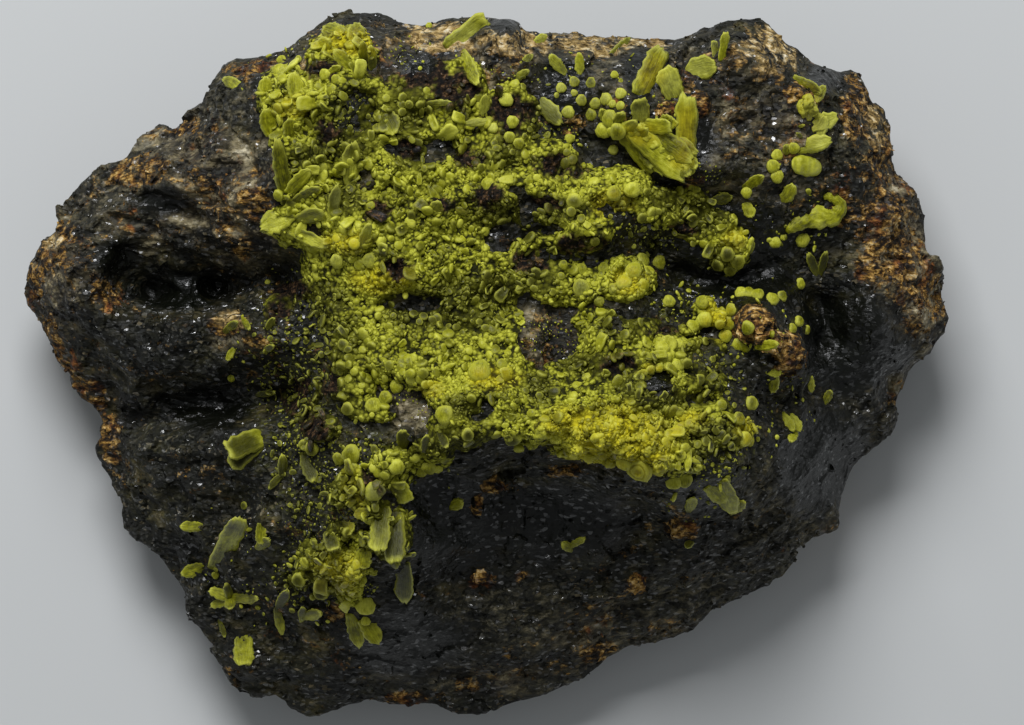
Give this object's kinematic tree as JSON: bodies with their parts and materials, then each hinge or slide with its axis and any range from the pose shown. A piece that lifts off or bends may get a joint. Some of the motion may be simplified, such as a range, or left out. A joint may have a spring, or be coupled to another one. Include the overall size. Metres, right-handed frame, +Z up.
{
  "type": "cejkaite mineral specimen",
  "caption": "Lump of dark uranium ore with a broad crust of small yellow-green crystals and leaning tablets on its top, resting on a flat broken base.",
  "frame": {"origin": "middle of the underside of the specimen's box, on the face it lies on", "axes": "+X along the longest side, +Z up out of the crusted face"},
  "size_m": [0.036, 0.0274, 0.0137],
  "materials": {
    "rock": "rough broken ore, glossy black where massive, rusty brown where weathered",
    "crust": "granular waxy crust of crowded crystals",
    "crystal": "waxy, slightly translucent tablets and buttons"
  },
  "bodies": {
    "root": {"beads_right": "crystal", "bean_right": "crystal", "beans_knob": "crystal", "blade_lower_left": "crystal", "blade_top": "crystal", "button_knob": "crystal", "button_low_right": "crystal", "button_mid": "crystal", "button_right": "crystal", "button_right_low": "crystal", "button_row_top": "crystal", "button_top_a": "crystal", "button_top_b": "crystal", "button_top_d": "crystal", "chip_hollow": "crystal", "chip_upper_left": "crystal", "cluster_ledge_low": "crystal", "cluster_left": "crystal", "cluster_low_right": "crystal", "cluster_right": "crystal", "crust_knob_left": "crust", "crust_lower_left": "crust", "crust_main": "crust", "fan_lower_left": "crystal", "flake_hex": "crystal", "flake_ledge_low": "crystal", "flake_right": "crystal", "grain_far_right": "crystal", "leaf_pair": "crystal", "leaf_top": "crystal", "oval_knob_low": "crystal", "pair_bottom": "crystal", "ring_knob": "crystal", "rock": "rock", "rosette_right": "crystal", "splinter_top": "crystal", "spray_top_right": "crystal", "sprig_right": "crystal", "stack_right": "crystal", "stack_top_right": "crystal", "star_lower_left": "crystal", "tablet_bottom_left": "crystal", "tablet_far_right": "crystal", "tablet_knob_right": "crystal", "tablet_ledge_left": "crystal", "tablet_left_dark": "crystal", "tablet_left_round": "crystal", "tablet_top": "crystal", "tablets_knob_left": "crystal", "tablets_low_right": "crystal", "tablets_right": "crystal", "tabs_hollow": "crystal", "tabs_lower_left": "crystal"}
  },
  "joints": []
}
